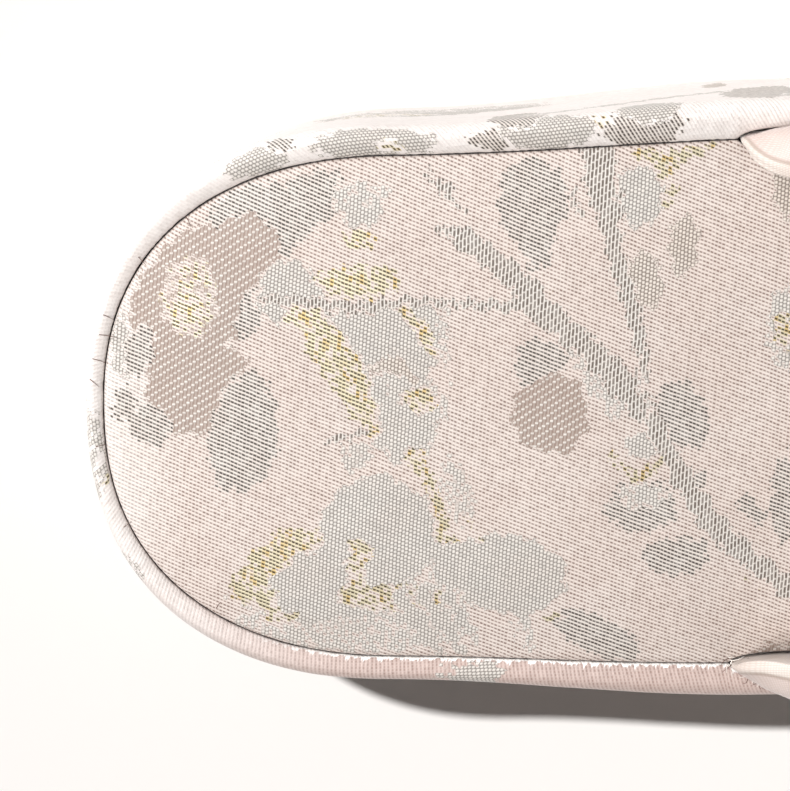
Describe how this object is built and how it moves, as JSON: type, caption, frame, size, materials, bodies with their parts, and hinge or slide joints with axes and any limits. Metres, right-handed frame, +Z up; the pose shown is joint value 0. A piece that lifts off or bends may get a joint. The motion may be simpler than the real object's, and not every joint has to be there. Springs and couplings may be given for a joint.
{
  "type": "zori sandal",
  "caption": "Wedge zori sandal covered in pale brocade, with a padded satin thong strap held down by a toe loop, standing on its flat outsole.",
  "frame": {"origin": "on the floor below the middle of the sandal's length and width", "axes": "+Y towards the toe, +X to the wearer's right, +Z up"},
  "size_m": [0.087, 0.245, 0.0748],
  "materials": {
    "sole_sheet": "smooth pale grey sole leather",
    "side_cloth": "pale pink brocade wrapped round the wedge",
    "top_cloth": "pale pink figured brocade with silver, rust and gold threads",
    "strap_satin": "pale pink padded satin",
    "loop_satin": "pale pink satin band"
  },
  "bodies": {
    "root": {"outsole": "sole_sheet", "platform": "side_cloth", "footbed_board": "top_cloth", "strap": "strap_satin", "toe_loop": "loop_satin"}
  },
  "joints": []
}
